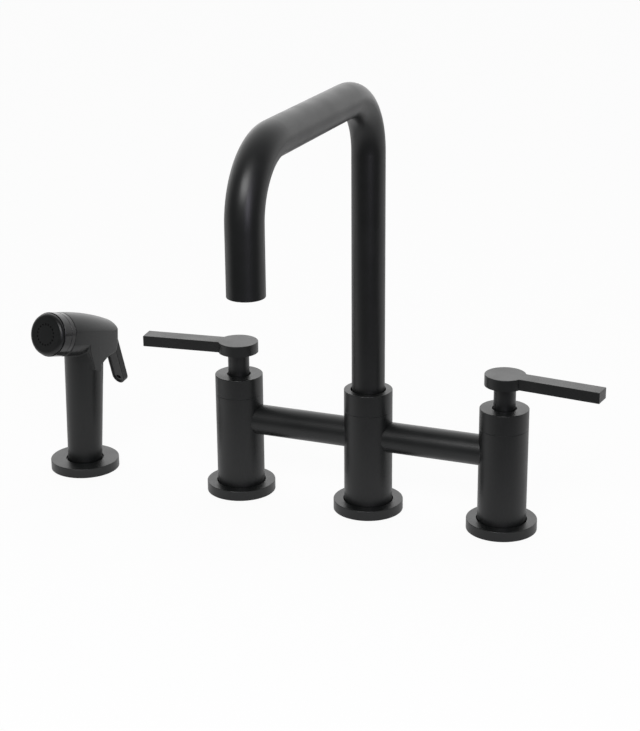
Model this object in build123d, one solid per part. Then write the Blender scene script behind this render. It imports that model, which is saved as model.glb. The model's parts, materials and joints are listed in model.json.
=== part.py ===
from build123d import *
from math import cos, pi, radians, sin
import os

# Bridge kitchen faucet with a side sprayer.
# Millimetres. +Z is up, the spout points to -Y, +X runs to the cold valve.
# The origin is on the deck, on the axis that the spout swivels about.

# ---------------------------------------------------------------- clearances
seat_gap = 0.05             # radial gap of a seated or screwed piece
running_gap = 0.05          # radial gap of a shaft in its bearing
moving_gap = 0.4            # face gap between pieces that move past each other
edge_break = 0.4            # rounding of the sharp outer edges
seam_break = 0.2            # chamfer on each side of a visible seam

# ---------------------------------------------------------------- columns
handle_centres = 203.2      # hot axis to cold axis, the 8 inch standard
column_radius = 17.5
seam_height = 76.6          # where the bonnets and the spout collar begin
bonnet_height = 14.7
collar_height = 15.8
neck_radius = 15.0          # threaded neck inside a bonnet or the collar
neck_height = 6.0
spigot_radius = 13.5        # foot of a column, down through its flange

# ---------------------------------------------------------------- flanges
flange_radius = 25.4
flange_height = 7.4
flange_floor = 2.4
flange_ring_gap = 0.6       # dark ring round the foot of a column
gasket_inner = 19.2
gasket_outer = 23.0
gasket_thickness = 1.4

# ---------------------------------------------------------------- inlets
inlet_radius = 9.3          # G 1/2 inside thread, at its crests
inlet_depth = 14.0
supply_radius = 7.0
hose_thread_radius = 5.72   # G 1/4 inside thread, at its crests
hose_thread_depth = 12.0
hose_passage_radius = 4.0

# ---------------------------------------------------------------- bridge
bridge_height = 57.3
bridge_radius = 11.05
bridge_bore = 8.6
socket_floor = 12.5         # from a column's axis to the end of its socket
socket_gap = 0.12
port_radius = 7.0
bridge_seal_thickness = 1.5

# ---------------------------------------------------------------- valve cartridges
valve_seat_height = 47.0
cartridge_bore = 10.6
barrel_radius = 9.3
barrel_bore = 8.25
thread_start = 66.0         # where the cartridge's screwed part begins
hex_across_flats = 21.0
hex_height = 3.4
seat_seal_bore = 5.6
seat_seal_thickness = 2.2
disc_thickness = 3.4
disc_gap = 0.05
disc_port_reach = 6.6
disc_port_hub = 2.0
spindle_foot_radius = 7.8
spindle_foot_height = 3.0
journal_radius = 4.6
journal_seal_height = 76.0
spindle_radius = 4.0
spindle_top = 103.0
clip_radius = 6.4
clip_thickness = 0.8
window_width = 9.0
window_bottom = 53.4
window_top = 59.0

# ---------------------------------------------------------------- handles
stem_radius = 7.8
stem_hole_radius = 8.7      # dark ring round a handle's stem
stem_hole_depth = 1.7
stem_foot_gap = 0.6
glide_ring_radius = 9.6
bonnet_roof = 4.7
disc_radius = 14.6
disc_bottom = 108.5
handle_top = 116.5
lever_width = 13.2
lever_thickness = 8.0
lever_reach = 71.6          # handle axis to the end of the lever
lever_rest_angle = 6.5      # the closed levers point this far forward of sideways
set_screw_radius = 2.0
set_screw_height = 97.0
set_screw_length = 3.2
set_screw_key = 1.0

# ---------------------------------------------------------------- spout
spout_radius = 11.9
spout_bore = 10.3
spout_top = 308.4           # centreline of the level run
spout_reach = 207.4
spout_bend = 43.0
outlet_height = 222.0
collar_hole_radius = 12.7   # dark ring round the foot of the spout
collar_roof = 5.4
shoulder_radius = 13.6
bearing_thickness = 1.4
bearing_bore = 11.3
bearing_radius = 14.4
journal_bore = 11.1         # the swivel's bore in the centre column
spout_base_foot = 65.5
spout_base_bore = 8.0
spout_base_spigot = 11.4    # how far the base reaches up into the tube
seal_heights = (69.0, 75.0)
seal_groove_radius = 9.6
seal_groove_width = 2.0
seal_wire = 0.68

# ---------------------------------------------------------------- aerator
aerator_recess = 1.2
aerator_length = 10.0
aerator_bore = 8.6
aerator_lip_bore = 7.9
aerator_lip = 1.1
screen_thickness = 1.2
screen_hole = 0.55
screen_pitch = 2.3
screen_rings = 3
aerator_washer_thickness = 2.0

# ---------------------------------------------------------------- diverter
chamber_radius = 9.0
chamber_floor = 30.0
chamber_top = 64.0
cage_top = 47.0
cage_floor = 2.0
cage_bore = 6.05
cage_hole = 2.5
piston_bottom = 40.0
piston_head_bottom = 49.6
piston_head_radius = 8.0
piston_head_height = 3.0
piston_spring_bore = 4.7
spring_wire = 0.45
diverter_coil = 3.9
diverter_turns = 7

# ---------------------------------------------------------------- sprayer holder
spray_x = -232.8
spray_y = -3.0
spray_turn = 13.1           # the head is turned this far outward from -Y
spray_lean = 2.5            # the sprayer leans this far towards +X in its holder
spray_rest = 5.0            # height of the point that it leans about
holder_radius = 26.0
holder_height = 7.2
holder_floor = 1.6
holder_bore = 14.3
guide_ledge = 1.6
guide_recess = 1.5
guide_bore = 13.45
hose_hole_radius = 9.0

# ---------------------------------------------------------------- sprayer body
spray_foot_radius = 13.0
spray_neck_radius = 14.7
spray_neck_height = 90.0
spray_bore = 9.5
spray_bore_top = 111.0
head_height = 108.0         # where the head's axis crosses the stem's
head_pitch = 14.3           # the nozzle looks this far upward
head_radius = 16.5
head_seam = 27.6            # stem axis to the back of the nozzle ring
head_back = 30.1            # stem axis to the back of the head
head_middle_radius = 14.8   # at a station a little behind the stem's axis
head_middle_station = -5.5
head_back_radius = 10.0
head_back_rounding = 5.4    # seen from above
head_top_rounding = 7.5     # seen from the side
head_side_front = 15.8      # half widths between the head's bowed sides at three places
head_side_start = -28.0
head_side_middle = 14.75    # level with the stem's axis
head_side_back = 9.6
head_side_end = 30.2
web_front = -10.0           # where the bowed sides start, ahead of the stem's axis
web_front_low = -9.3        # their front edge under the head's round part
web_front_turn = 98.5
web_front_knee = -4.6       # further down, where it turns back towards the stem
web_front_knee_height = 84.5
web_front_foot = 4.0        # and where it runs out on the stem
web_foot = 80.0
web_underside = 89.3        # flat underside of the head behind the stem
web_blend = 7.0             # concave rounding from that underside into the stem
web_blend_radius = 13.9     # just inside the stem's wall, where the rounding ends
web_top = 107.0
web_corner = 6.5            # height of the slanting lower part of the back face
web_corner_reach = 2.0      # how far it slants in
head_bore = 12.0
head_bore_floor = 14.0
nozzle_spigot_radius = 14.7
nozzle_spigot_length = 7.5

# ---------------------------------------------------------------- nozzle
nozzle_radius = 16.4
nozzle_rim = 38.9           # stem axis to the front of the ring
nozzle_lip_bore = 13.8
nozzle_lip = 3.2
nozzle_groove = 4.1         # from the ring's back edge to its groove
face_radius = 15.8          # the face caps the ring
face_gap = 0.45             # dark groove between the ring and the face
face_front = 42.5
face_rounding = 3.0
face_back_bore = 10.6
face_thickness = 2.6
jet_count = 18
jet_circle = 7.7
jet_radius = 0.45
diffuser_thickness = 2.0
diffuser_holes = 8
diffuser_hole_radius = 1.4
diffuser_circle = 9.3

# ---------------------------------------------------------------- spray valve
valve_drop = 3.0            # the plunger runs this far below the head's axis
plunger_radius = 3.0
poppet_radius = 6.5
poppet_thickness = 2.5
poppet_seal_thickness = 0.8
poppet_gap = 0.1
seat_hole_radius = 4.5
plunger_contact = 24.3      # stem axis to the centre of the rod's round end
spray_coil = 4.6
spray_turns = 6

# ---------------------------------------------------------------- trigger
pivot_back = 26.86           # pivot, behind the stem's axis
pivot_height = 104.58
trigger_slope = 18.5        # the trigger hangs this far back from upright
trigger_length = 49.8
trigger_width = 11.6
trigger_thickness = 4.5     # of the part in line with the pivot
trigger_back = 0.6          # thickening of its outer face
trigger_eye = 3.0
trigger_slot_gap = 0.5
trigger_slot_front = 20.2
trigger_rim = 1.3
trigger_recess = 0.9
trigger_channel_start = 17.0
trigger_hole_radius = 1.3
trigger_hole_length = 4.2   # crosswise
trigger_hole_rise = 5.2
trigger_groove_width = 1.6
trigger_groove_start = 13.0
trigger_groove_length = 9.0
pin_radius = 1.5
pin_reach = 8.2

# ---------------------------------------------------------------- worked-out sizes
half_centres = handle_centres / 2
neck_top = seam_height + neck_height
bonnet_top = seam_height + bonnet_height
collar_top = seam_height + collar_height
hex_top = neck_top + hex_height
stem_foot = hex_top + clip_thickness + stem_foot_gap
fixed_disc_bottom = valve_seat_height + seat_seal_thickness
fixed_disc_top = fixed_disc_bottom + disc_thickness
moving_disc_bottom = fixed_disc_top + disc_gap
moving_disc_top = moving_disc_bottom + disc_thickness
spindle_foot_top = moving_disc_top + spindle_foot_height
journal_foot = spindle_foot_top + moving_gap
bearing_top = neck_top + bearing_thickness
shoulder_bottom = bearing_top + disc_gap
shoulder_top = collar_top - collar_roof - moving_gap
guide_floor = holder_floor + guide_ledge
spray_foot = guide_floor + seat_gap + spray_foot_radius * sin(radians(spray_lean))
diffuser_front = head_seam + nozzle_spigot_length - 1.0
diffuser_back = diffuser_front - diffuser_thickness
face_back = head_seam + nozzle_spigot_length + seat_gap
face_shoulder = nozzle_rim + face_gap
poppet_back = head_bore_floor + poppet_gap + poppet_seal_thickness
poppet_front = poppet_back + poppet_thickness


# ---------------------------------------------------------------- shape helpers
def post(radius, bottom, top):
    upright = Cylinder(radius, top - bottom, align=(Align.CENTER, Align.CENTER, Align.MIN))
    return Pos(0, 0, bottom) * upright


def ring(outer, inner, bottom, top):
    return post(outer, bottom, top) - post(inner, bottom, top)


def lying(radius, start, end, height=0.0):
    # a cylinder along X
    upright = Cylinder(radius, end - start, align=(Align.CENTER, Align.CENTER, Align.MIN))
    return Pos(start, 0, height) * Rot(0, 90, 0) * upright


def o_ring(outer, wire, height):
    return Pos(0, 0, height) * Torus(outer - wire, wire)


def rims(shape, radius, height):
    # the circular edges of one radius at one height
    return [
        edge
        for edge in shape.edges().filter_by(GeomType.CIRCLE)
        if abs(edge.radius - radius) < 0.01 and abs(edge.position_at(0.3).Z - height) < 0.01
    ]


def coil(coil_radius, wire, bottom, top, turns):
    rise = top - bottom - 2 * wire
    path = Helix(pitch=rise / turns, height=rise, radius=coil_radius)
    section = Plane(origin=path @ 0, z_dir=path % 0) * Circle(wire)
    return Pos(0, 0, bottom + wire) * sweep(section, path=path, is_frenet=True)


def around(count, radius, piece):
    return [Rot(0, 0, 360 * k / count) * Pos(radius, 0, 0) * piece for k in range(count)]


# ---------------------------------------------------------------- pieces at each column
def flange():
    bore = column_radius + flange_ring_gap
    body = ring(flange_radius, spigot_radius + seat_gap, 0, flange_height)
    body -= post(bore, flange_floor, flange_height)
    body -= ring(gasket_outer + seat_gap, gasket_inner - seat_gap, 0, gasket_thickness)
    body = fillet(rims(body, flange_radius, flange_height), edge_break)
    return chamfer(rims(body, bore, flange_height), seam_break)


def deck_gasket():
    return ring(gasket_outer, gasket_inner, 0, gasket_thickness)


def column():
    # foot through the flange, visible wall, threaded neck
    body = post(spigot_radius, 0, flange_floor) + post(column_radius, flange_floor, seam_height)
    body = chamfer(rims(body, column_radius, seam_height), seam_break)
    return body + post(neck_radius, seam_height, neck_top)


def bridge_socket(side):
    # side is the X direction in which the bridge tube leaves the column
    wall = bridge_radius + socket_gap
    opening = lying(wall, socket_floor, column_radius + 5, bridge_height)
    port = lying(port_radius, 0, socket_floor + 1, bridge_height)
    return (opening + port) if side > 0 else Rot(0, 0, 180) * (opening + port)


def column_cap(height, roof, hole):
    # the skirt of a bonnet or of the spout collar, down over the threaded neck
    top = seam_height + height
    body = post(column_radius, seam_height, top)
    body -= post(neck_radius + seat_gap, seam_height, top - roof)
    body -= post(hole, seam_height, top)
    body = chamfer(rims(body, column_radius, seam_height), seam_break)
    body = fillet(rims(body, column_radius, top), edge_break)
    return chamfer(rims(body, hole, top), seam_break)


# ---------------------------------------------------------------- hot and cold valves
def valve_body(side):
    body = column() - post(inlet_radius, 0, inlet_depth)
    body -= post(supply_radius, inlet_depth, valve_seat_height)
    body -= post(cartridge_bore, valve_seat_height, neck_top)
    return body - bridge_socket(-side)


def bonnet():
    body = column_cap(bonnet_height, bonnet_roof, stem_hole_radius)
    return body - post(glide_ring_radius, bonnet_top - bonnet_roof, bonnet_top - stem_hole_depth)


def glide_ring():
    bottom = bonnet_top - bonnet_roof + 0.1
    top = bonnet_top - stem_hole_depth - seat_gap
    return ring(glide_ring_radius - seat_gap, stem_radius + running_gap, bottom, top)


def cartridge_shell():
    hexagon = extrude(RegularPolygon(hex_across_flats / 2, 6, major_radius=False), hex_height)
    body = post(barrel_radius, valve_seat_height + 0.5, thread_start)
    body += post(cartridge_bore - seat_gap, thread_start, neck_top)
    body += Pos(0, 0, neck_top) * hexagon
    body -= post(barrel_bore, valve_seat_height, journal_foot)
    body -= post(journal_radius + running_gap, valve_seat_height, hex_top)
    window = Pos(0, 0, (window_bottom + window_top) / 2) * Box(
        4 * barrel_radius, window_width, window_top - window_bottom
    )
    return body - window


def seat_seal():
    return ring(barrel_bore - seat_gap, seat_seal_bore, valve_seat_height, fixed_disc_bottom)


def disc_port():
    # one of the two opposite sector ports of a ceramic disc
    sector = make_face(
        [
            Line((0, 0), (disc_port_reach * cos(radians(40)), -disc_port_reach * sin(radians(40)))),
            CenterArc((0, 0), disc_port_reach, -40, 80),
            Line((disc_port_reach * cos(radians(40)), disc_port_reach * sin(radians(40))), (0, 0)),
        ]
    )
    sector -= Circle(disc_port_hub)
    return extrude(sector, disc_thickness)


def ceramic_disc(radius, bottom, turn):
    body = post(radius, bottom, bottom + disc_thickness)
    for start in (turn, turn + 180):
        body -= Pos(0, 0, bottom) * Rot(0, 0, start) * disc_port()
    return body


def spindle():
    body = post(spindle_foot_radius, moving_disc_top, spindle_foot_top)
    body += post(journal_radius, spindle_foot_top, hex_top)
    body += post(spindle_radius, hex_top, spindle_top)
    groove_wall = journal_radius - 2 * seal_wire - seat_gap
    body -= ring(
        journal_radius,
        groove_wall,
        journal_seal_height - seal_groove_width / 2,
        journal_seal_height + seal_groove_width / 2,
    )
    return chamfer(rims(body, spindle_radius, spindle_top), edge_break)


def spindle_clip():
    body = ring(clip_radius, spindle_radius + seat_gap, hex_top + seat_gap, hex_top + clip_thickness)
    mouth = Pos(clip_radius, 0, hex_top) * Box(clip_radius, spindle_radius, 4 * clip_thickness)
    return body - mouth


def handle(side):
    lever_bottom = handle_top - lever_thickness
    outline = Circle(disc_radius) + Pos(lever_reach / 2, 0) * Rectangle(lever_reach, lever_width)
    body = Pos(0, 0, lever_bottom) * extrude(outline, lever_thickness)
    end_edges = [e for e in body.edges().filter_by(Axis.Z) if e.center().X > lever_reach - 1]
    body = fillet(end_edges, edge_break)
    body = fillet(body.edges().group_by(Axis.Z)[-1], edge_break)
    lower = [e for e in body.edges().group_by(Axis.Z)[0] if e.center().X > disc_radius]
    body = fillet(lower, edge_break)
    body += post(disc_radius, disc_bottom, handle_top - 2 * edge_break)
    body += post(stem_radius, stem_foot, disc_bottom)
    body -= post(spindle_radius + seat_gap, stem_foot, spindle_top + 0.5)
    hole = lying(set_screw_radius, 0, stem_radius + 1, set_screw_height)
    screw_turn = 90 - lever_turn(side)
    body -= Rot(0, 0, screw_turn) * hole
    return Rot(0, 0, lever_turn(side)) * body


def lever_turn(side):
    # the direction of the closed lever, counted from +X about +Z
    return -lever_rest_angle if side > 0 else 180 + lever_rest_angle


def set_screw():
    start = spindle_radius + seat_gap
    body = lying(set_screw_radius - seat_gap, start, start + set_screw_length, set_screw_height)
    body -= lying(set_screw_key, start + set_screw_length / 2, start + set_screw_length, set_screw_height)
    return Rot(0, 0, 90) * body


# ---------------------------------------------------------------- bridge
def bridge_tube():
    start = socket_floor + bridge_seal_thickness
    end = half_centres - start
    outer = lying(bridge_radius, start, end, bridge_height)
    return outer - lying(bridge_bore, start, end, bridge_height)


def bridge_seals():
    start = socket_floor
    end = socket_floor + bridge_seal_thickness
    seal = lying(bridge_radius - seat_gap, start, end, bridge_height)
    seal -= lying(bridge_bore, start, end, bridge_height)
    turned = Rot(0, 0, 180) * seal
    places = [seal, turned, Pos(half_centres, 0, 0) * turned, Pos(-half_centres, 0, 0) * seal]
    return Compound(children=[Solid(place.solid().wrapped) for place in places])


# ---------------------------------------------------------------- centre column
def centre_body():
    body = column() - post(hose_thread_radius, 0, hose_thread_depth)
    body -= post(hose_passage_radius, hose_thread_depth, chamber_floor)
    body -= post(chamber_radius, chamber_floor, chamber_top)
    body -= post(journal_bore, chamber_top, neck_top)
    return body - bridge_socket(1) - bridge_socket(-1)


def bearing_ring():
    return ring(bearing_radius, bearing_bore, neck_top, bearing_top)


def spout_base():
    body = post(journal_bore - running_gap, spout_base_foot, shoulder_top)
    body += post(shoulder_radius, shoulder_bottom, shoulder_top)
    body += post(spout_bore - seat_gap, shoulder_top, shoulder_top + spout_base_spigot)
    for height in seal_heights:
        low = height - seal_groove_width / 2
        body -= ring(journal_bore, seal_groove_radius, low, low + seal_groove_width)
    return body - post(spout_base_bore, spout_base_foot, shoulder_top + spout_base_spigot)


def spout_seals():
    outer = journal_bore - running_gap
    return Compound(children=[o_ring(outer, seal_wire, height) for height in seal_heights])


def spout_tube():
    route = FilletPolyline(
        (0, 0, shoulder_top),
        (0, 0, spout_top),
        (0, -spout_reach, spout_top),
        (0, -spout_reach, outlet_height),
        radius=spout_bend,
    )
    foot = Pos(0, 0, shoulder_top)
    body = sweep(foot * Circle(spout_radius), path=route)
    body -= sweep(foot * Circle(spout_bore), path=route)
    return fillet(rims(body, spout_radius, outlet_height), edge_break)


def aerator_shell():
    bottom = outlet_height + aerator_recess
    body = ring(spout_bore - seat_gap, aerator_bore, bottom, bottom + aerator_length)
    body += ring(spout_bore - seat_gap, aerator_lip_bore, bottom, bottom + aerator_lip)
    return Pos(0, -spout_reach, 0) * body


def aerator_screen():
    bottom = outlet_height + aerator_recess + aerator_lip
    body = post(aerator_bore - seat_gap, bottom, bottom + screen_thickness)
    hole = post(screen_hole, bottom, bottom + screen_thickness)
    body -= hole
    for k in range(1, screen_rings + 1):
        for piece in around(6 * k, screen_pitch * k, hole):
            body -= piece
    return Pos(0, -spout_reach, 0) * body


def aerator_washer():
    bottom = outlet_height + aerator_recess + aerator_length
    body = ring(spout_bore - seat_gap, aerator_lip_bore, bottom, bottom + aerator_washer_thickness)
    return Pos(0, -spout_reach, 0) * body


# ---------------------------------------------------------------- diverter
def diverter_cage():
    body = ring(chamber_radius - seat_gap, cage_bore, chamber_floor, cage_top)
    return body + ring(cage_bore + 0.5, cage_hole, chamber_floor, chamber_floor + cage_floor)


def diverter_piston():
    body = post(cage_bore - running_gap, piston_bottom, piston_head_bottom)
    body += post(piston_head_radius, piston_head_bottom, piston_head_bottom + piston_head_height)
    body -= post(piston_spring_bore, piston_bottom, cage_top)
    return chamfer(rims(body, piston_head_radius, piston_head_bottom + piston_head_height), 1.0)


def diverter_spring():
    return coil(diverter_coil, spring_wire, chamber_floor + cage_floor, cage_top, diverter_turns)


# ---------------------------------------------------------------- sprayer frames
# Sprayer pieces are drawn with the stem on Z and the head towards -Y, then placed.
def on_deck(piece):
    return Pos(spray_x, spray_y, 0) * Rot(0, 0, -spray_turn) * piece


def in_holder(piece):
    # a sprayer piece, leaning a little in its holder
    lean = Pos(0, 0, spray_rest) * Rot(0, spray_lean, 0) * Pos(0, 0, -spray_rest)
    return Pos(spray_x, spray_y, 0) * lean * Rot(0, 0, -spray_turn) * piece


def tilted(piece):
    # a piece drawn about +Z, which becomes the head's axis towards the nozzle
    return Pos(0, 0, head_height) * Rot(90 - head_pitch, 0, 0) * piece


def on_head(piece):
    return in_holder(tilted(piece))


def on_valve(piece):
    # as on_head, on the plunger's own line below the head's axis
    return on_head(Pos(0, -valve_drop, 0) * piece)


# ---------------------------------------------------------------- sprayer holder
def spray_holder():
    body = ring(holder_radius, hose_hole_radius, 0, holder_height)
    body -= post(holder_bore, holder_floor, holder_height)
    body -= ring(gasket_outer + seat_gap, gasket_inner - seat_gap, 0, gasket_thickness)
    body = fillet(rims(body, holder_radius, holder_height), edge_break)
    return on_deck(chamfer(rims(body, holder_bore, holder_height), seam_break))


def spray_guide():
    top = holder_height - guide_recess
    body = ring(holder_bore - seat_gap, guide_bore, holder_floor, top)
    return on_deck(body + ring(guide_bore + 0.5, hose_hole_radius, holder_floor, guide_floor))


# ---------------------------------------------------------------- sprayer body
def side_at(back):
    # half width between the head's bowed sides, at a distance behind the stem's axis
    ahead = (head_side_front - head_side_middle) / head_side_start
    behind = (head_side_back - head_side_middle) / head_side_end
    bow = (behind - ahead) / (head_side_end - head_side_start)
    return head_side_middle + back * (ahead + bow * (back - head_side_start))


def spray_stem():
    rise = spray_neck_height - spray_foot
    upright = Align.CENTER, Align.CENTER, Align.MIN
    stem = Pos(0, 0, spray_foot) * Cone(spray_foot_radius, spray_neck_radius, rise, align=upright)
    stem = chamfer(stem.edges().group_by(Axis.Z)[0], edge_break)
    return stem + post(spray_neck_radius, spray_neck_height, head_height)


def head_barrel():
    # round about the head's axis, widest at the nozzle, drawn in to the back
    profile = make_face(
        [
            Line((0, 0, -head_back), (head_back_radius, 0, -head_back)),
            ThreePointArc(
                (head_back_radius, 0, -head_back),
                (head_middle_radius, 0, head_middle_station),
                (head_radius, 0, head_seam),
            ),
            Line((head_radius, 0, head_seam), (0, 0, head_seam)),
            Line((0, 0, head_seam), (0, 0, -head_back)),
        ]
    )
    return tilted(revolve(profile, Axis.Z))


def head_web():
    # the part under the back of the head, rounded into the stem
    depth = head_side_end - web_front
    low = Align.CENTER, Align.MIN, Align.MIN
    slab = Pos(0, web_front, web_foot) * Box(2 * head_radius, depth, web_top - web_foot, align=low)
    ahead = make_face(
        Polyline(
            (0, web_front_foot, web_foot - 1),
            (0, web_front_foot, web_foot),
            (0, web_front_knee, web_front_knee_height),
            (0, web_front_low, web_front_turn),
            (0, web_front, web_top),
            (0, web_front - 5, web_top),
            (0, web_front - 5, web_foot - 1),
            close=True,
        )
    )
    slab -= Pos(-40, 0, 0) * extrude(ahead, 80, dir=(1, 0, 0))
    foot = web_underside - web_blend
    edge = web_blend_radius + web_blend
    waist = web_blend * sin(pi / 4)
    below = make_face(
        [
            Line((web_blend_radius, 0, foot - 5), (web_blend_radius, 0, foot)),
            ThreePointArc(
                (web_blend_radius, 0, foot),
                (edge - waist, 0, foot + waist),
                (edge, 0, web_underside),
            ),
            Line((edge, 0, web_underside), (2 * head_back, 0, web_underside)),
            Line((2 * head_back, 0, web_underside), (2 * head_back, 0, foot - 5)),
            Line((2 * head_back, 0, foot - 5), (web_blend_radius, 0, foot - 5)),
        ]
    )
    behind = Pos(0, web_front_foot, web_foot - 2) * Box(100, 60, 20, align=low)
    return slab - (revolve(below, Axis.Z) & behind)


def head_envelope():
    # seen from above: the tapering flat sides with rounded corners at the back
    plan = make_face(
        [
            ThreePointArc(
                (head_side_front, head_side_start),
                (head_side_middle, 0),
                (head_side_back, head_side_end),
            ),
            Line((head_side_back, head_side_end), (-head_side_back, head_side_end)),
            ThreePointArc(
                (-head_side_back, head_side_end),
                (-head_side_middle, 0),
                (-head_side_front, head_side_start),
            ),
            Line((-head_side_front, head_side_start), (head_side_front, head_side_start)),
        ]
    )
    corners = [v for v in plan.vertices() if v.Y > head_side_end - 1]
    plan = fillet(corners, head_back_rounding)
    column_of_plan = Pos(0, 0, web_foot - 1) * extrude(plan, 60)
    # seen from the side: the back face with its rounding over the top and under the foot
    run, rise = cos(radians(head_pitch)), sin(radians(head_pitch))

    def spot(station, up):
        return (0, up * rise - station * run, head_height + station * rise + up * run)

    top = head_back_radius
    arc = head_top_rounding
    low = web_underside
    reach = (low + web_corner - head_height + head_back * rise) / run
    foot = reach - web_corner
    outline = make_face(
        [
            Line(spot(head_seam + 5, -40), spot(head_seam + 5, 40)),
            Line(spot(head_seam + 5, 40), spot(arc * 1.3 - head_back, top + 3.2)),
            ThreePointArc(
                spot(arc * 1.3 - head_back, top + 3.2),
                spot(arc * 0.3 - head_back, top - arc * 0.3),
                spot(-head_back, top - arc * 1.2),
            ),
            Line(spot(-head_back, top - arc * 1.2), spot(-head_back, reach)),
            ThreePointArc(
                spot(-head_back, reach),
                spot(web_corner_reach * 0.35 - head_back, (reach + foot) / 2),
                spot(web_corner_reach - head_back, foot),
            ),
            Line(spot(web_corner_reach - head_back, foot), spot(web_corner_reach + 4 - head_back, foot - 10)),
            Line(spot(web_corner_reach + 4 - head_back, foot - 10), spot(head_seam + 5, -40)),
        ]
    )
    return column_of_plan & Pos(-40, 0, 0) * extrude(outline, 80, dir=(1, 0, 0))


def spray_body():
    head = (head_barrel() + head_web()) & head_envelope()
    body = spray_stem() + head
    body += tilted(post(nozzle_spigot_radius, head_seam - 1, head_seam + nozzle_spigot_length))
    # passages: up the stem, through the valve seat, into the chamber behind the nozzle
    inside = tilted(post(head_bore, head_bore_floor, head_seam + nozzle_spigot_length + 1))
    inside += post(spray_bore, spray_foot - 1, spray_bore_top)
    seat = post(seat_hole_radius, 0, head_bore_floor + 1)
    guide = post(plunger_radius + running_gap, -plunger_contact, 0)
    inside += tilted(Pos(0, -valve_drop, 0) * (seat + guide))
    # slot for the trigger, with a pin hole that is open on the far side
    slot_width = trigger_width + 2 * trigger_slot_gap
    slot_top = pivot_height + trigger_eye + moving_gap
    slot = Box(slot_width, 40, slot_top, align=(Align.CENTER, Align.MIN, Align.MIN))
    inside += Pos(0, trigger_slot_front, 0) * slot
    inside += Pos(0, pivot_back, pivot_height) * lying(pin_radius + seat_gap, -20, pin_reach)
    return in_holder(body - inside)


def spray_inlet():
    top = spray_foot + hose_thread_depth
    return in_holder(ring(spray_bore - seat_gap, hose_thread_radius, spray_foot, top))


# ---------------------------------------------------------------- nozzle
def nozzle_ring():
    back = head_seam + seat_gap
    body = post(nozzle_radius, back, nozzle_rim)
    body = chamfer(rims(body, nozzle_radius, nozzle_rim), seam_break)
    body = chamfer(rims(body, nozzle_radius, back), seam_break)
    body -= post(nozzle_spigot_radius + seat_gap, back, nozzle_rim - nozzle_lip)
    body -= post(nozzle_lip_bore, back, nozzle_rim)
    groove = Pos(0, 0, back + nozzle_groove) * Torus(nozzle_radius + 0.1, 0.35)
    return on_head(body - groove)


def nozzle_face():
    # a round-edged cap with a neck down through the ring
    body = post(face_radius, face_shoulder, face_front)
    body = fillet(rims(body, face_radius, face_front), face_rounding)
    body = chamfer(rims(body, face_radius, face_shoulder), seam_break)
    body += post(nozzle_lip_bore - seat_gap, face_back, face_shoulder)
    body -= post(face_back_bore, face_back, face_front - face_thickness)
    jet = post(jet_radius, face_back, face_front)
    for piece in around(jet_count, jet_circle, jet):
        body -= piece
    return on_head(body)


def nozzle_diffuser():
    body = post(head_bore - seat_gap, diffuser_back, diffuser_front)
    hole = post(diffuser_hole_radius, diffuser_back, diffuser_front)
    for piece in around(diffuser_holes, diffuser_circle, hole):
        body -= piece
    return on_head(body)


# ---------------------------------------------------------------- spray valve
def spray_plunger():
    body = post(plunger_radius, -plunger_contact, poppet_back)
    body += Pos(0, 0, -plunger_contact) * Sphere(plunger_radius)
    body += post(poppet_radius, poppet_back, poppet_front)
    return on_valve(body)


def plunger_seal():
    back = poppet_back - poppet_seal_thickness
    return on_valve(ring(poppet_radius, plunger_radius + seat_gap, back, poppet_back))


def spray_spring():
    return on_valve(coil(spray_coil, spring_wire, poppet_front, diffuser_back, spray_turns))


# ---------------------------------------------------------------- trigger
def trigger():
    # drawn hanging straight down from its pivot, with the stem on the -Y side
    radius = trigger_width / 2
    outline = Pos(0, -(trigger_length - radius) / 2) * Rectangle(trigger_width, trigger_length - radius)
    outline += Pos(0, radius - trigger_length) * Circle(radius)
    hole_height = trigger_hole_rise - trigger_length
    outline -= Pos(0, hole_height) * SlotOverall(trigger_hole_length, 2 * trigger_hole_radius)
    body = upright_plate(outline, -trigger_thickness / 2, trigger_thickness / 2 + trigger_back)
    body += lying(trigger_eye, -radius, radius)
    # raised rims along the face towards the stem
    inner = radius - trigger_rim
    low = radius - trigger_length
    channel = Pos(0, (low - trigger_channel_start) / 2) * Rectangle(
        2 * inner, -trigger_channel_start - low
    )
    channel += Pos(0, low) * Circle(inner) + Pos(0, -trigger_channel_start) * Circle(inner)
    front = -trigger_thickness / 2
    body -= upright_plate(channel, front, front + trigger_recess)
    groove = Pos(0, -trigger_groove_start - trigger_groove_length / 2) * Rot(0, 0, 90) * SlotOverall(
        trigger_groove_length, trigger_groove_width
    )
    body -= upright_plate(groove, front, front + 2 * trigger_recess)
    body -= lying(pin_radius + running_gap, -radius, radius)
    return in_holder(Pos(0, pivot_back, pivot_height) * Rot(trigger_slope, 0, 0) * body)


def upright_plate(outline, start, end):
    # an outline drawn as seen along +Y, given its thickness in Y
    return Pos(0, end, 0) * Rot(90, 0, 0) * extrude(outline, end - start)


def trigger_pin():
    far = side_at(pivot_back) - 0.4
    pin = lying(pin_radius, -far, pin_reach - seat_gap)
    return in_holder(Pos(0, pivot_back, pivot_height) * pin)


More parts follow.
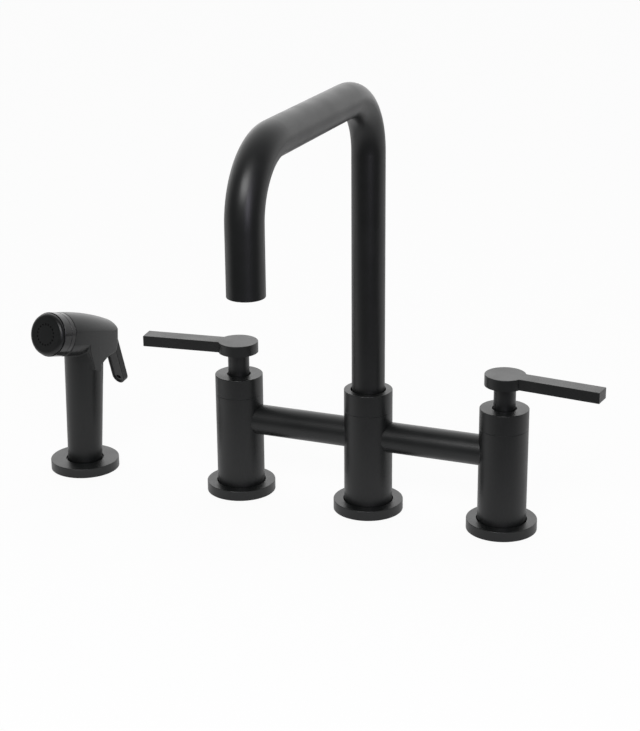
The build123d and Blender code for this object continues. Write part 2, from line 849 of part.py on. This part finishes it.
# ---------------------------------------------------------------- all the pieces
nodes = {}
for side, name in ((-1, "left"), (1, "right")):
    column_place = Pos(side * half_centres, 0, 0)
    pieces = {
        "flange": flange(),
        "gasket": deck_gasket(),
        "valve_body": valve_body(side),
        "bonnet": bonnet(),
        "glide_ring": glide_ring(),
        "cartridge_shell": cartridge_shell(),
        "seat_seal": seat_seal(),
        "fixed_disc": ceramic_disc(barrel_bore - seat_gap, fixed_disc_bottom, 0),
        "moving_disc": ceramic_disc(spindle_foot_radius, moving_disc_bottom, 90),
        "spindle": spindle(),
        "spindle_seal": o_ring(journal_radius, seal_wire, journal_seal_height),
        "spindle_clip": spindle_clip(),
        "handle": handle(side),
        "handle_screw": set_screw(),
    }
    for piece_name, piece in pieces.items():
        nodes[f"{name}_{piece_name}"] = column_place * piece

nodes["left_bridge_tube"] = Pos(-half_centres, 0, 0) * bridge_tube()
nodes["right_bridge_tube"] = bridge_tube()
nodes["bridge_seals"] = bridge_seals()
nodes["centre_flange"] = flange()
nodes["centre_gasket"] = deck_gasket()
nodes["centre_body"] = centre_body()
nodes["spout_collar"] = column_cap(collar_height, collar_roof, collar_hole_radius)
nodes["spout_bearing_ring"] = bearing_ring()
nodes["spout_base"] = spout_base()
nodes["spout_seals"] = spout_seals()
nodes["spout_tube"] = spout_tube()
nodes["aerator_shell"] = aerator_shell()
nodes["aerator_screen"] = aerator_screen()
nodes["aerator_washer"] = aerator_washer()
nodes["diverter_cage"] = diverter_cage()
nodes["diverter_piston"] = diverter_piston()
nodes["diverter_spring"] = diverter_spring()
nodes["spray_holder"] = spray_holder()
nodes["spray_gasket"] = on_deck(deck_gasket())
nodes["spray_guide"] = spray_guide()
nodes["spray_body"] = spray_body()
nodes["spray_inlet"] = spray_inlet()
nodes["nozzle_ring"] = nozzle_ring()
nodes["nozzle_face"] = nozzle_face()
nodes["nozzle_diffuser"] = nozzle_diffuser()
nodes["spray_plunger"] = spray_plunger()
nodes["plunger_seal"] = plunger_seal()
nodes["spray_spring"] = spray_spring()
nodes["trigger"] = trigger()
nodes["trigger_pin"] = trigger_pin()

os.makedirs("parts", exist_ok=True)
for name, shape in nodes.items():
    shape.label = name
    export_step(shape, f"parts/{name}.step")
print(f"{len(nodes)} pieces written")
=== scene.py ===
import bpy
import bmesh
import json
import math
from mathutils import Matrix, Vector


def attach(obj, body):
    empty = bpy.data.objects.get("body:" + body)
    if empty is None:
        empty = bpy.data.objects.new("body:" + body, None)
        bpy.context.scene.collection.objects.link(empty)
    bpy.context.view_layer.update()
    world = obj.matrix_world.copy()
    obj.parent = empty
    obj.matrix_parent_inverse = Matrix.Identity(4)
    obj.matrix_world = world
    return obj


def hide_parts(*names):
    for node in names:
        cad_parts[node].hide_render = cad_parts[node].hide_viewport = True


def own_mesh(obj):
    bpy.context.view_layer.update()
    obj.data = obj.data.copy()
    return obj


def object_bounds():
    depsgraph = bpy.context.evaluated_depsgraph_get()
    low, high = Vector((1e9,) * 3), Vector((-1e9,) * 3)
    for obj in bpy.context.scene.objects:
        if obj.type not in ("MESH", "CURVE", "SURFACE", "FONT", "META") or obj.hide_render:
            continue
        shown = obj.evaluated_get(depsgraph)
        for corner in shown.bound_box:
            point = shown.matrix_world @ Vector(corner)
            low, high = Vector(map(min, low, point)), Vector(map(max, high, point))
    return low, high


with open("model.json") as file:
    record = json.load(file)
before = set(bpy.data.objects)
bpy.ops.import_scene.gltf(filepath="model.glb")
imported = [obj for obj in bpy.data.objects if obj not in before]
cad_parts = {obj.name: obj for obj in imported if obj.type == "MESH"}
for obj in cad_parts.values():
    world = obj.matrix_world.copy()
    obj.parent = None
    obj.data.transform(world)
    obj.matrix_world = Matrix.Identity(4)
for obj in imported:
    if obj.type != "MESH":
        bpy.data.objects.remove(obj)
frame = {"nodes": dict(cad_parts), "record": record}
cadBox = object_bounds()
nodes = frame["nodes"]
print("frame loaded:", len(nodes), "nodes")


# ---- camera, at the photograph's viewing angle
cameraView = {
    "turn": 20.63,           # degrees round from -Y towards +X
    "rise": 19.46,           # degrees above level
    "distance": 1.29357,
    "target": (-0.00395, 0.0, 0.11083),
    "focalPixels": 1810.2,   # for a frame 731 pixels high
    "centrePixel": (363.13, 363.79),
    "framePixels": (640, 731),
    "clip": (0.05, 20),      # nearest and farthest it sees
}


def makeCamera(view):
    turn, rise = math.radians(view["turn"]), math.radians(view["rise"])
    back = Vector((math.sin(turn) * math.cos(rise), -math.cos(turn) * math.cos(rise), math.sin(rise)))
    right = Vector((math.cos(turn), math.sin(turn), 0))
    up = back.cross(right)
    data = bpy.data.cameras.new("photoCamera")
    camera = bpy.data.objects.new("photoCamera", data)
    bpy.context.scene.collection.objects.link(camera)
    place = Matrix((right, up, back)).transposed().to_4x4()
    place.translation = Vector(view["target"]) + back * view["distance"]
    camera.matrix_world = place
    wide, high = view["framePixels"]
    data.lens = view["focalPixels"] / high * data.sensor_width
    data.shift_x = (wide / 2 - view["centrePixel"][0]) / high
    data.shift_y = (view["centrePixel"][1] - high / 2) / high
    data.clip_start, data.clip_end = view["clip"]
    bpy.context.scene.camera = camera


makeCamera(cameraView)
print("camera placed")


# ---- light and floor
studio = {
    "away": (-0.352, 0.936, 0.0),    # level direction from the camera through the object
    "frontLevel": 0.20,              # the unlit room behind the camera
    "backLevel": 2.25,               # the pale backdrop
    "turnFrom": -0.05,               # where the room starts to brighten, as a share of away
    "turnTo": 1.0,
    "floorSize": 6.0,
    "floorDrop": 0.0002,             # below the feet
    "paperColor": (0.90, 0.90, 0.90, 1),
    "paperFar": 0.13,                # what is left of it far in front, where the light falls off
    "paperFrom": 0.0,                # metres in front of the middle, where the falling off starts
    "paperTo": 0.34,                 # and where it ends
    "paperGlow": 0.35,               # share of the paper that its mirror image shows as plain white
    "floorGlow": 0.94,               # share of the floor that shows as plain white
}
softLights = {
    "frontLight": {"size": (0.85, 0.55), "power": 12.5, "color": (1, 1, 1),
                   "place": (0.17, -1.25, 1.15), "aim": (0, -0.2, 0.27)},
    "sideWindow": {"size": (0.22, 0.55), "power": 1.7, "color": (0.88, 0.84, 1.0),
                   "place": (0.55, -0.83, 0.47), "aim": (-0.25, -0.03, 0.1)},
}


def addNode(tree, kind, **settings):
    node = tree.nodes.new("ShaderNode" + kind)
    for name, value in settings.items():
        setattr(node, name, value)
    return node


def alongAway(tree, position, s):
    # how far a direction or a place lies towards the backdrop
    dot = addNode(tree, "VectorMath", operation="DOT_PRODUCT")
    dot.inputs[1].default_value = s["away"]
    tree.links.new(position, dot.inputs[0])
    return dot.outputs["Value"]


def remap(tree, value, fromMin, fromMax, toMin, toMax, smooth=True):
    node = addNode(tree, "MapRange", interpolation_type="SMOOTHSTEP" if smooth else "LINEAR")
    for name, number in zip(("From Min", "From Max", "To Min", "To Max"), (fromMin, fromMax, toMin, toMax)):
        node.inputs[name].default_value = number
    tree.links.new(value, node.inputs["Value"])
    return node.outputs["Result"]


def makeWorld(s):
    world = bpy.data.worlds.new("studio")
    bpy.context.scene.world = world
    world.use_nodes = True
    tree = world.node_tree
    tree.nodes.clear()
    link = tree.links.new
    where = addNode(tree, "TexCoord")
    room = addNode(tree, "Background")
    white = addNode(tree, "Background")
    white.inputs["Color"].default_value = (1, 1, 1, 1)
    path = addNode(tree, "LightPath")
    pick = addNode(tree, "MixShader")
    out = addNode(tree, "OutputWorld")
    side = alongAway(tree, where.outputs["Generated"], s)
    level = remap(tree, side, s["turnFrom"], s["turnTo"], s["frontLevel"], s["backLevel"], smooth=False)
    link(level, room.inputs["Strength"])
    link(path.outputs["Is Camera Ray"], pick.inputs["Fac"])
    link(room.outputs["Background"], pick.inputs[1])
    link(white.outputs["Background"], pick.inputs[2])
    link(pick.outputs["Shader"], out.inputs["Surface"])


def makeFloor(s):
    data = bpy.data.meshes.new("floor")
    half = s["floorSize"] / 2
    corners = [(-half, -half, 0), (half, -half, 0), (half, half, 0), (-half, half, 0)]
    data.from_pydata(corners, [], [(0, 1, 2, 3)])
    floor = bpy.data.objects.new("floor", data)
    bpy.context.scene.collection.objects.link(floor)
    floor.location.z = cadBox[0][2] - s["floorDrop"]
    material = bpy.data.materials.new("floorPaper")
    material.use_nodes = True
    tree = material.node_tree
    tree.nodes.clear()
    link = tree.links.new
    where = addNode(tree, "TexCoord")
    depth = alongAway(tree, where.outputs["Object"], s)
    nearness = remap(tree, depth, -s["paperTo"], s["paperFrom"], s["paperFar"], 1)
    path = addNode(tree, "LightPath")
    level = addNode(tree, "Math", operation="MAXIMUM")   # seen directly, the paper is even
    tone = addNode(tree, "Mix", data_type="RGBA")
    tone.inputs["A"].default_value = (0, 0, 0, 1)
    tone.inputs["B"].default_value = s["paperColor"]
    paper = addNode(tree, "BsdfDiffuse")
    glow = addNode(tree, "Emission")
    shareSeen = addNode(tree, "Math", operation="MULTIPLY")
    shareSeen.inputs[1].default_value = s["floorGlow"]
    shareMirrored = addNode(tree, "Math", operation="MULTIPLY_ADD")
    shareMirrored.inputs[1].default_value = s["paperGlow"]
    pick = addNode(tree, "MixShader")
    out = addNode(tree, "OutputMaterial")
    link(nearness, level.inputs[0])
    link(path.outputs["Is Camera Ray"], level.inputs[1])
    link(level.outputs["Value"], tone.inputs["Factor"])
    link(level.outputs["Value"], glow.inputs["Strength"])
    link(tone.outputs["Result"], paper.inputs["Color"])
    link(path.outputs["Is Camera Ray"], shareSeen.inputs[0])
    link(path.outputs["Is Glossy Ray"], shareMirrored.inputs[0])
    link(shareSeen.outputs["Value"], shareMirrored.inputs[2])
    link(shareMirrored.outputs["Value"], pick.inputs["Fac"])
    link(paper.outputs["BSDF"], pick.inputs[1])
    link(glow.outputs["Emission"], pick.inputs[2])
    link(pick.outputs["Shader"], out.inputs["Surface"])
    data.materials.append(material)


def makeSoftLight(name, light):
    data = bpy.data.lights.new(name, "AREA")
    data.shape = "RECTANGLE"
    data.size, data.size_y = light["size"]
    data.energy = light["power"]
    data.color = light["color"]
    lamp = bpy.data.objects.new(name, data)
    bpy.context.scene.collection.objects.link(lamp)
    lamp.location = light["place"]
    line = Vector(light["aim"]) - Vector(light["place"])
    lamp.rotation_euler = line.to_track_quat("-Z", "Y").to_euler()


makeWorld(studio)
makeFloor(studio)
for name, light in softLights.items():
    makeSoftLight(name, light)
bpy.context.scene.view_settings.view_transform = "Standard"
print("studio lit")


# ---- finishes
surfaceGrain = {
    "given": ("Grain Scale", "Patch Scale", "Roughness Low", "Roughness High"),
    "results": ("Height", "Patches", "Roughness"),
    "grainDetail": 3,
    "grainRoughness": 0.6,
    "patchDetail": 2,
    "patchSpan": (0.3, 0.7),     # noise levels that give the lowest and the highest roughness
}


def makeGrainGroup(look):
    # fine uneven surface of a sprayed, moulded or cast skin
    group = bpy.data.node_groups.new("surfaceGrain", "ShaderNodeTree")
    for name in look["given"]:
        group.interface.new_socket(name, in_out="INPUT", socket_type="NodeSocketFloat")
    for name in look["results"]:
        group.interface.new_socket(name, in_out="OUTPUT", socket_type="NodeSocketFloat")
    link = group.links.new
    given = group.nodes.new("NodeGroupInput")
    out = group.nodes.new("NodeGroupOutput")
    where = addNode(group, "TexCoord")
    grain = addNode(group, "TexNoise")
    grain.inputs["Detail"].default_value = look["grainDetail"]
    grain.inputs["Roughness"].default_value = look["grainRoughness"]
    patches = addNode(group, "TexNoise")
    patches.inputs["Detail"].default_value = look["patchDetail"]
    rough = addNode(group, "MapRange")
    rough.inputs["From Min"].default_value, rough.inputs["From Max"].default_value = look["patchSpan"]
    link(where.outputs["Object"], grain.inputs["Vector"])
    link(where.outputs["Object"], patches.inputs["Vector"])
    link(given.outputs["Grain Scale"], grain.inputs["Scale"])
    link(given.outputs["Patch Scale"], patches.inputs["Scale"])
    link(patches.outputs["Fac"], rough.inputs["Value"])
    link(given.outputs["Roughness Low"], rough.inputs["To Min"])
    link(given.outputs["Roughness High"], rough.inputs["To Max"])
    link(grain.outputs["Fac"], out.inputs["Height"])
    link(patches.outputs["Fac"], out.inputs["Patches"])
    link(rough.outputs["Result"], out.inputs["Roughness"])
    return group


grainGroup = makeGrainGroup(surfaceGrain)


def makeFinish(name, look):
    # a Principled surface with grain in its relief, and patches in its roughness and colour
    material = bpy.data.materials.new(name)
    material.use_nodes = True
    tree = material.node_tree
    link = tree.links.new
    shader = tree.nodes["Principled BSDF"]
    shader.inputs["Metallic"].default_value = look.get("metal", 0.0)
    shader.inputs["Specular IOR Level"].default_value = look.get("specular", 0.5)
    grain = addNode(tree, "Group", node_tree=grainGroup)
    grain.inputs["Grain Scale"].default_value = look["grainScale"]
    grain.inputs["Patch Scale"].default_value = patchScale
    grain.inputs["Roughness Low"].default_value = look["rough"][0]
    grain.inputs["Roughness High"].default_value = look["rough"][1]
    tint = addNode(tree, "Mix", data_type="RGBA")
    tint.inputs["A"].default_value = (*look["dark"], 1)
    tint.inputs["B"].default_value = (*look["light"], 1)
    bump = addNode(tree, "Bump")
    bump.inputs["Strength"].default_value = look["relief"]
    bump.inputs["Distance"].default_value = grainDepth
    link(grain.outputs["Patches"], tint.inputs["Factor"])
    link(tint.outputs["Result"], shader.inputs["Base Color"])
    link(grain.outputs["Roughness"], shader.inputs["Roughness"])
    link(grain.outputs["Height"], bump.inputs["Height"])
    link(bump.outputs["Normal"], shader.inputs["Normal"])
    return material


patchScale = 60.0       # patches of colour and roughness, per metre
grainDepth = 0.0001     # metres
finishLooks = {
    "matte_black": {"dark": (0.0062, 0.0069, 0.0069), "light": (0.0078, 0.0086, 0.0086),
                    "rough": (0.34, 0.41), "specular": 0.5, "grainScale": 4200, "relief": 0.2},
    "black_plastic": {"dark": (0.0062, 0.0069, 0.0069), "light": (0.0078, 0.0086, 0.0086),
                      "rough": (0.31, 0.37), "specular": 0.41, "grainScale": 3200, "relief": 0.15},
    "nozzleSatin": {"dark": (0.0085, 0.0088, 0.0092), "light": (0.0100, 0.0104, 0.0108),
                    "rough": (0.19, 0.23), "specular": 0.5, "grainScale": 3200, "relief": 0.06},
    # near black: painted shade of the jet openings, on the rings round the jets
    "jetShadeRing": {"dark": (0.0008, 0.0008, 0.0009), "light": (0.0014, 0.0014, 0.0015),
                "rough": (0.6, 0.7), "specular": 0.12, "grainScale": 3000, "relief": 0.2},
    "rubber": {"dark": (0.018, 0.018, 0.018), "light": (0.026, 0.026, 0.026),
               "rough": (0.75, 0.88), "grainScale": 2200, "relief": 0.35},
    "bearing_plastic": {"dark": (0.04, 0.04, 0.041), "light": (0.055, 0.055, 0.056),
                        "rough": (0.4, 0.5), "grainScale": 1800, "relief": 0.15},
    "brass": {"dark": (0.56, 0.37, 0.14), "light": (0.66, 0.46, 0.19), "metal": 1.0,
              "rough": (0.28, 0.4), "grainScale": 1500, "relief": 0.15},
    "steel": {"dark": (0.46, 0.46, 0.47), "light": (0.56, 0.56, 0.57), "metal": 1.0,
              "rough": (0.25, 0.35), "grainScale": 2500, "relief": 0.15},
    "ceramic": {"dark": (0.76, 0.75, 0.71), "light": (0.82, 0.81, 0.78),
                "rough": (0.12, 0.2), "grainScale": 1200, "relief": 0.05},
}
finishes = {name: makeFinish(name + "Finish", look) for name, look in finishLooks.items()}
slotOf = {part["node"]: part["material_slot"] for part in frame["record"]["subparts"]}
bodyOf = {node: body for body, held in frame["record"]["behaviour"]["bodies"].items() for node in held}
finishOf = {**slotOf, "nozzle_ring": "nozzleSatin"}
for node, finish in finishOf.items():
    mesh = nodes[node].data
    mesh.materials.clear()
    mesh.materials.append(finishes[finish])
print("finishes made:", len(finishes))


def addPiece(name, data):
    piece = bpy.data.objects.new(name, data)
    bpy.context.scene.collection.objects.link(piece)
    return piece


def standInFor(piece, node):
    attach(piece, bodyOf[node])
    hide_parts(node)


# ---- moulded skins: the machined solid with its edges and hollows drawn smooth
mouldedSkins = {
    "sprayBodySkin": {"node": "spray_body", "voxel": 0.00046, "factor": 0.5, "passes": 4, "keep": 0.5},
    "triggerSkin": {"node": "trigger", "voxel": 0.00022, "factor": 0.5, "passes": 3, "keep": 0.7},
}


def mouldSkin(name, skin):
    node = skin["node"]
    piece = addPiece(name, nodes[node].data.copy())
    remesh = piece.modifiers.new("skin", "REMESH")
    remesh.mode = "VOXEL"
    remesh.voxel_size = skin["voxel"]
    smooth = piece.modifiers.new("soft", "SMOOTH")
    smooth.factor = skin["factor"]
    smooth.iterations = skin["passes"]
    thin = piece.modifiers.new("thin", "DECIMATE")
    thin.ratio = skin["keep"]
    shown = piece.evaluated_get(bpy.context.evaluated_depsgraph_get())
    done = bpy.data.meshes.new_from_object(shown)
    piece.modifiers.clear()
    piece.data = done
    done.materials.clear()
    done.materials.append(finishes[slotOf[node]])
    done.polygons.foreach_set("use_smooth", [True] * len(done.polygons))
    standInFor(piece, node)
    return piece


for name, skin in mouldedSkins.items():
    piece = mouldSkin(name, skin)
    print(name, "moulded:", len(piece.data.polygons), "faces")


# ---- springs, copied from their parts and set on the bodies that carry them; they keep their full length as the valve moves
springs = {
    "sprayerSpring": {"node": "spray_spring", "joint": "plunger_slide", "stroke": 0.0011728,
                      "towardsSeat": (-0.208646, -0.943798, 0.256344)},
    "divertingSpring": {"node": "diverter_spring", "joint": "diverter_slide", "stroke": 0.002,
                        "towardsSeat": (0, 0, -1)},
}


def makeSpring(name, spring):
    node = spring["node"]
    piece = addPiece(name, nodes[node].data.copy())
    standInFor(piece, node)
    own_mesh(piece)


for name, spring in springs.items():
    makeSpring(name, spring)
    print(name, "set on", bodyOf[spring["node"]])


# ---- near-black rings round the jets in the sprayer's face, shaped as soft seals and coloured as painted shade of the jet openings
jetShadeRings = {
    "node": "nozzle_face",
    "middle": (-0.237175, -0.043111, 0.118797),        # of the face
    "axis": (-0.208646, -0.943798, 0.256344),          # out of the face
    "first": (-0.00622559, 0.00014621, -0.00452886),   # from the middle to one jet
    "count": 18,
    "hole": 0.00040,       # radii of one seal
    "rim": 0.00072,
    "proud": 0.00006,      # its crown, above the face
    "shoulder": 0.000018,
    "sunk": 0.0003,        # below the face
    "sides": 20,
}


def makeJetShadeRings(seal):
    middle, arm = Vector(seal["middle"]), Vector(seal["first"])
    axis = Vector(seal["axis"]).normalized()
    across = arm.normalized()
    along = axis.cross(across)
    hole, rim = seal["hole"], seal["rim"]
    outline = (    # radius and height round one seal, from the hole outwards
        (hole, -seal["sunk"]),
        (hole, seal["shoulder"]),
        ((hole + rim) / 2, seal["proud"]),
        (rim, seal["shoulder"]),
        (rim, -seal["sunk"]),
    )
    mesh = bmesh.new()
    for k in range(seal["count"]):
        jet = middle + Matrix.Rotation(k * 2 * math.pi / seal["count"], 3, axis) @ arm
        loops = []
        for radius, height in outline:
            loops.append([])
            for j in range(seal["sides"]):
                turn = j * 2 * math.pi / seal["sides"]
                outward = across * math.cos(turn) + along * math.sin(turn)
                loops[-1].append(mesh.verts.new(jet + outward * radius + axis * height))
        for inner, outer in zip(loops, loops[1:] + loops[:1]):
            for j in range(seal["sides"]):
                after = (j + 1) % seal["sides"]
                mesh.faces.new((inner[j], outer[j], outer[after], inner[after]))
    bmesh.ops.recalc_face_normals(mesh, faces=mesh.faces)
    data = bpy.data.meshes.new("jetShadeRings")
    mesh.to_mesh(data)
    mesh.free()
    # the near-black finish paints the shade inside the jet openings
    data.materials.append(finishes["jetShadeRing"])
    piece = addPiece("jetShadeRings", data)
    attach(piece, bodyOf[seal["node"]])


makeJetShadeRings(jetShadeRings)
print("jet seals made:", jetShadeRings["count"])
